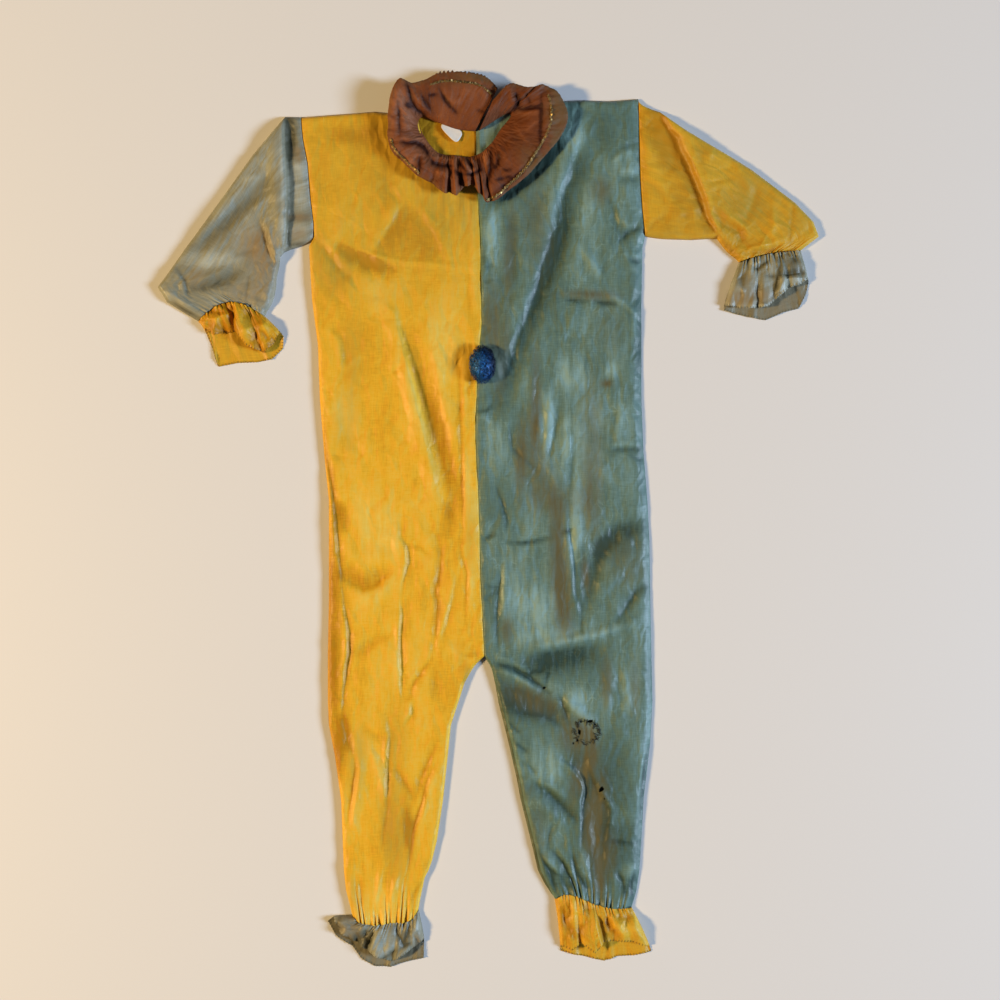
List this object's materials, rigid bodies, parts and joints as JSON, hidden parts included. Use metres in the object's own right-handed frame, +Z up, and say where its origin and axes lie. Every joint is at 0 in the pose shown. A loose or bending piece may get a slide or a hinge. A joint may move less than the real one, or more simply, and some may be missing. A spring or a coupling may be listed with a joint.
{
  "type": "clown costume",
  "caption": "Child's one-piece clown costume in two colours with gathered collar, wrist and ankle ruffles and a tinsel pompom, laid flat on its back.",
  "frame": {"origin": "middle of the laid garment's outline, on the surface that it lies on", "axes": "+X towards the teal half and the yellow sleeve, +Y towards the collar, +Z up from the surface"},
  "size_m": [0.726, 0.9783, 0.0266],
  "materials": {
    "taffeta_yellow": "lustrous yellow taffeta, creased and faded in streaks",
    "taffeta_teal": "lustrous grey-green taffeta with brown stains",
    "taffeta_silver": "lustrous silver-green taffeta, crumpled",
    "taffeta_red_brown": "red-brown taffeta, gathered and pinked at its edge",
    "braid_gold": "dull gold metal-thread braid",
    "tinsel_blue": "glossy blue tinsel strands",
    "label_white": "plain woven white tape, bare"
  },
  "bodies": {
    "root": {"front_yellow": "taffeta_yellow", "front_teal": "taffeta_teal", "back_yellow": "taffeta_yellow", "back_teal": "taffeta_teal", "sleeve_yellow": "taffeta_yellow", "sleeve_silver": "taffeta_silver", "ankle_ruffle_silver": "taffeta_silver", "ankle_ruffle_yellow": "taffeta_yellow", "wrist_ruffle_silver": "taffeta_silver", "wrist_ruffle_yellow": "taffeta_yellow", "collar": "taffeta_red_brown", "braid_back_left": "braid_gold", "braid_right": "braid_gold", "pompom": "tinsel_blue", "neck_label": "label_white"}
  },
  "joints": []
}
